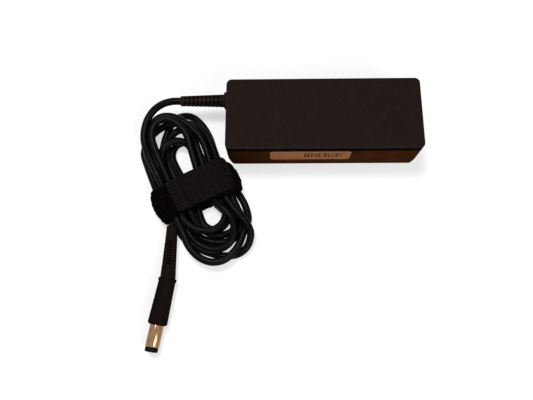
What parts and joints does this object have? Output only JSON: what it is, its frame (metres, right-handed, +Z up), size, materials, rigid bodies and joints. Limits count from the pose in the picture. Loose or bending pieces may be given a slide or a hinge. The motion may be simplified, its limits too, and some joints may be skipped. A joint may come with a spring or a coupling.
{
  "type": "laptop power adapter",
  "caption": "Slab-shaped power brick with chamfered ends, three-contact mains inlet, moulded strain relief, wound output cord held by a hook-and-loop strap, and a barrel plug.",
  "frame": {"origin": "centre of the case's base, on the surface that it stands on", "axes": "+Z up, +X along the case towards the mains inlet, +Y towards the long side beside which the output cord leaves"},
  "size_m": [0.1567, 0.1453, 0.0285],
  "materials": {
    "lid_plastic": "fine moulded grain",
    "case_plastic": "gloss",
    "label_paper": "satin film",
    "panel_paper": "satin film",
    "inlet_plastic": "moulded",
    "contact_metal": "nickel plated",
    "board": "glass fibre board with green lacquer",
    "spreader_metal": "rolled sheet",
    "film": "polyester film",
    "fuse_body": "moulded",
    "varistor_body": "epoxy dip",
    "thermistor_body": "epoxy dip",
    "film_capacitor_body": "moulded box",
    "ferrite": "pressed ferrite",
    "copper_wire": "enamelled copper",
    "chip_body": "moulded epoxy",
    "capacitor_sleeve": "shrink sleeve",
    "heatsink_metal": "stamped",
    "screw_steel": "zinc plated",
    "bobbin_plastic": "moulded",
    "winding_tape": "polyester tape over copper",
    "disc_capacitor": "epoxy dip",
    "wire_insulation": "soft insulation",
    "relief_rubber": "moulded, matte",
    "cord_jacket": "satin",
    "strap_loop": "brushed loop pile",
    "strap_weave": "fine weave",
    "strap_thread": "thread",
    "hook_tape": "hook tape",
    "grip_rubber": "moulded, satin",
    "core_plastic": "moulded",
    "barrel_metal": "nickel plated",
    "insulator_plastic": "moulded",
    "sleeve_metal": "nickel plated",
    "pin_metal": "gold flashed"
  },
  "bodies": {
    "root": {"top_cover": "lid_plastic", "bottom_case": "case_plastic", "side_label": "label_paper", "base_label": "panel_paper", "inlet_housing": "inlet_plastic", "inlet_pins": "contact_metal", "circuit_board": "board", "lower_heat_spreader": "spreader_metal", "upper_heat_spreader": "spreader_metal", "insulating_sheet": "film", "fuse": "fuse_body", "varistor": "varistor_body", "inrush_thermistor": "thermistor_body", "filter_capacitor": "film_capacitor_body", "choke_core": "ferrite", "choke_windings": "copper_wire", "bridge_rectifier": "chip_body", "bulk_capacitor": "capacitor_sleeve", "primary_heatsink": "heatsink_metal", "power_transistor": "chip_body", "transistor_screw": "screw_steel", "transformer_core_front": "ferrite", "transformer_core_rear": "ferrite", "transformer_bobbin": "bobbin_plastic", "transformer_winding": "winding_tape", "safety_capacitor": "disc_capacitor", "optocoupler": "chip_body", "control_chip": "chip_body", "output_rectifier": "chip_body", "secondary_heatsink": "heatsink_metal", "output_capacitors": "capacitor_sleeve", "output_choke": "copper_wire", "output_conductors": "wire_insulation", "strain_relief": "relief_rubber", "cord_in_relief": "cord_jacket", "dc_cord_lead": "cord_jacket", "dc_cord_hank": "cord_jacket", "dc_cord_tail": "cord_jacket", "strap_loop_band": "strap_loop", "strap_stitched_end": "strap_weave", "strap_stitching": "strap_thread", "plug_boot": "relief_rubber", "cord_in_plug": "cord_jacket", "plug_grip": "grip_rubber", "plug_core": "core_plastic", "plug_barrel": "barrel_metal", "plug_insulator": "insulator_plastic", "plug_inner_sleeve": "sleeve_metal", "plug_centre_pin": "pin_metal"},
    "strap_flap": {"strap_flap": "strap_weave", "strap_hook_patch": "hook_tape"}
  },
  "joints": [
    {"name": "strap_peel", "type": "hinge", "parent": "root", "child": "strap_flap", "pos_m": [-0.07646, -0.04128, 0.0122], "axis": [0.454, -0.891, 0], "range_deg": [0, 120]}
  ]
}
